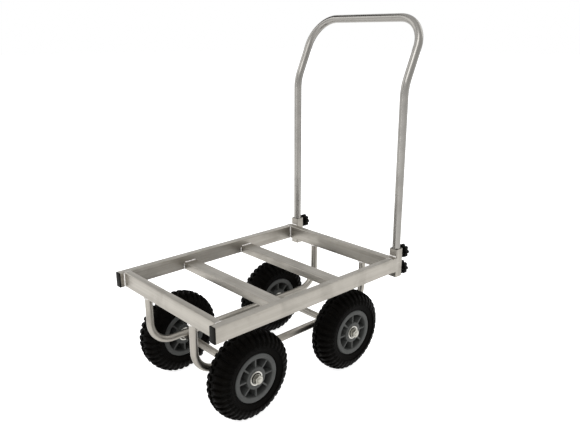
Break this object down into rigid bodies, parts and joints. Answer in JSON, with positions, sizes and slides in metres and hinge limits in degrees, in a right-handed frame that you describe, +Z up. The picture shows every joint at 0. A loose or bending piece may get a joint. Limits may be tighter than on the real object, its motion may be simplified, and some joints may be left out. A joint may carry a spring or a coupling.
{
  "type": "beach cart",
  "caption": "Low wheeled beach cart: open welded bar deck on bent tube runners, knobbly tyres on spoked rims, and a removable U-shaped push handle clamped by star knobs.",
  "frame": {"origin": "on the ground, below the centre of the box that holds the whole cart", "axes": "+X across the cart to its right seen from behind the handle, +Y from the nose to the handle, +Z up"},
  "size_m": [0.506, 0.8327, 1.0932],
  "materials": {
    "frame_aluminium": "brushed mill finish",
    "handle_aluminium": "polished tube",
    "axle_steel": "zinc plated",
    "bearing_steel": "ground",
    "cap_plastic": "moulded black",
    "knob_plastic": "moulded black",
    "rim_plastic": "moulded grey",
    "tyre_rubber": "matte rubber",
    "tube_rubber": "smooth butyl"
  },
  "bodies": {
    "frame": {"axle_collars": "axle_steel", "axle_nuts": "axle_steel", "axle_washers": "axle_steel", "beam_end_plate_left": "frame_aluminium", "beam_end_plate_right": "frame_aluminium", "bearing_inner_races": "bearing_steel", "clamp_bosses": "frame_aluminium", "deck_slat_front": "frame_aluminium", "deck_slat_rear": "frame_aluminium", "front_axle_rod": "axle_steel", "front_axle_tube": "frame_aluminium", "front_crossbeam": "frame_aluminium", "handle_socket_left": "frame_aluminium", "handle_socket_right": "frame_aluminium", "rail_end_cap_left": "cap_plastic", "rail_end_cap_right": "cap_plastic", "rear_axle_rod": "axle_steel", "rear_axle_tube": "frame_aluminium", "rear_crossbeam": "frame_aluminium", "runner_left": "frame_aluminium", "runner_right": "frame_aluminium", "side_rail_left": "frame_aluminium", "side_rail_right": "frame_aluminium"},
    "front_left_wheel": {"front_left_tyre": "tyre_rubber", "front_left_inner_tube": "tube_rubber", "front_left_rim": "rim_plastic", "front_left_bearing_races": "bearing_steel"},
    "front_right_wheel": {"front_right_tyre": "tyre_rubber", "front_right_inner_tube": "tube_rubber", "front_right_rim": "rim_plastic", "front_right_bearing_races": "bearing_steel"},
    "rear_left_wheel": {"rear_left_tyre": "tyre_rubber", "rear_left_inner_tube": "tube_rubber", "rear_left_rim": "rim_plastic", "rear_left_bearing_races": "bearing_steel"},
    "rear_right_wheel": {"rear_right_tyre": "tyre_rubber", "rear_right_inner_tube": "tube_rubber", "rear_right_rim": "rim_plastic", "rear_right_bearing_races": "bearing_steel"},
    "lower_left_clamp": {"clamp_knob_lower_left": "knob_plastic", "clamp_screw_lower_left": "axle_steel"},
    "lower_right_clamp": {"clamp_knob_lower_right": "knob_plastic", "clamp_screw_lower_right": "axle_steel"},
    "upper_left_clamp": {"clamp_knob_upper_left": "knob_plastic", "clamp_screw_upper_left": "axle_steel"},
    "upper_right_clamp": {"clamp_knob_upper_right": "knob_plastic", "clamp_screw_upper_right": "axle_steel"},
    "handle": {"handle_tube": "handle_aluminium"}
  },
  "joints": [
    {"name": "front_left_wheel_spin", "type": "hinge", "parent": "frame", "child": "front_left_wheel", "pos_m": [-0.176, -0.25685, 0.13], "axis": [1, 0, 0], "continuous": true},
    {"name": "front_right_wheel_spin", "type": "hinge", "parent": "frame", "child": "front_right_wheel", "pos_m": [0.176, -0.25685, 0.13], "axis": [1, 0, 0], "continuous": true},
    {"name": "rear_left_wheel_spin", "type": "hinge", "parent": "frame", "child": "rear_left_wheel", "pos_m": [-0.176, 0.13815, 0.13], "axis": [1, 0, 0], "continuous": true},
    {"name": "rear_right_wheel_spin", "type": "hinge", "parent": "frame", "child": "rear_right_wheel", "pos_m": [0.176, 0.13815, 0.13], "axis": [1, 0, 0], "continuous": true},
    {"name": "lower_left_clamp_turn", "type": "hinge", "parent": "frame", "child": "lower_left_clamp", "pos_m": [-0.23, 0.33465, 0.302], "axis": [0, 1, 0], "range_deg": [0, 720]},
    {"name": "lower_right_clamp_turn", "type": "hinge", "parent": "frame", "child": "lower_right_clamp", "pos_m": [0.23, 0.33465, 0.302], "axis": [0, 1, 0], "range_deg": [0, 720]},
    {"name": "upper_left_clamp_turn", "type": "hinge", "parent": "frame", "child": "upper_left_clamp", "pos_m": [-0.23, 0.33465, 0.358], "axis": [0, 1, 0], "range_deg": [0, 720]},
    {"name": "upper_right_clamp_turn", "type": "hinge", "parent": "frame", "child": "upper_right_clamp", "pos_m": [0.23, 0.33465, 0.358], "axis": [0, 1, 0], "range_deg": [0, 720]},
    {"name": "handle_slide", "type": "slide", "parent": "frame", "child": "handle", "axis": [0, 0, 1], "range_m": [0, 0.05]}
  ]
}
